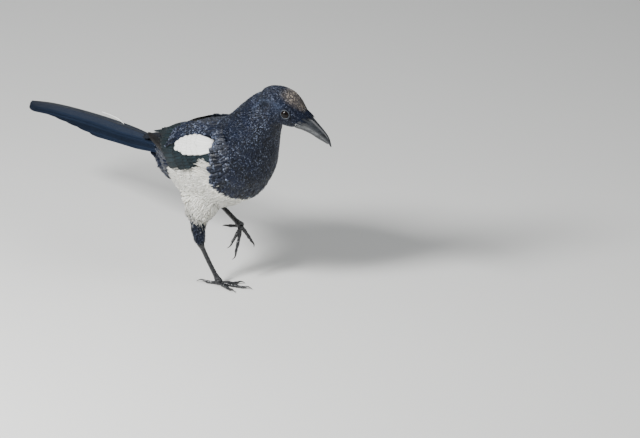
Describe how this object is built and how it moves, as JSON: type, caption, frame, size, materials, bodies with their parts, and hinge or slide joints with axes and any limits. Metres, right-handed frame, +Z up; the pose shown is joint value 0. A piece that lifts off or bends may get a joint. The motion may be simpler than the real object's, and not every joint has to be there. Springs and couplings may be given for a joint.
{
  "type": "eurasian magpie",
  "caption": "Still, life-size magpie in mid stride: black and white plumage, long closed tail, folded wings, lowered head turned to its left, one foot lifted.",
  "frame": {"origin": "on the floor, at the middle of the box that holds the whole bird", "axes": "+X is the way the body faces, +Y is the bird's left, +Z is up"},
  "size_m": [0.3954, 0.0864, 0.2112],
  "materials": {
    "body_black": "soft black body feathers with a faint blue and violet gloss",
    "flight_blue_black": "smooth vanes with a blue, green and bronze gloss",
    "white_plumage": "matt warm-white feathers",
    "bill_horn": "smooth dark grey horn, half gloss",
    "eye_brown": "wet, clear, dark brown eye",
    "leg_scales": "black scutes, half gloss",
    "claw_horn": "polished black horn"
  },
  "bodies": {
    "root": {"head": "body_black", "neck": "body_black", "breast": "body_black", "back": "body_black", "rump": "body_black", "thigh_right": "body_black", "thigh_left": "body_black", "wing_right": "flight_blue_black", "wing_left": "flight_blue_black", "tail": "flight_blue_black", "belly": "white_plumage", "scapulars_right": "white_plumage", "scapulars_left": "white_plumage", "bill_upper": "bill_horn", "bill_lower": "bill_horn", "eye_right": "eye_brown", "eye_left": "eye_brown", "tarsus_right": "leg_scales", "tarsus_left": "leg_scales", "toe_right_inner": "leg_scales", "toe_right_middle": "leg_scales", "toe_right_outer": "leg_scales", "toe_right_hallux": "leg_scales", "toe_left_inner": "leg_scales", "toe_left_middle": "leg_scales", "toe_left_outer": "leg_scales", "toe_left_hallux": "leg_scales", "claw_right_inner": "claw_horn", "claw_right_middle": "claw_horn", "claw_right_outer": "claw_horn", "claw_right_hallux": "claw_horn", "claw_left_inner": "claw_horn", "claw_left_middle": "claw_horn", "claw_left_outer": "claw_horn", "claw_left_hallux": "claw_horn"}
  },
  "joints": []
}
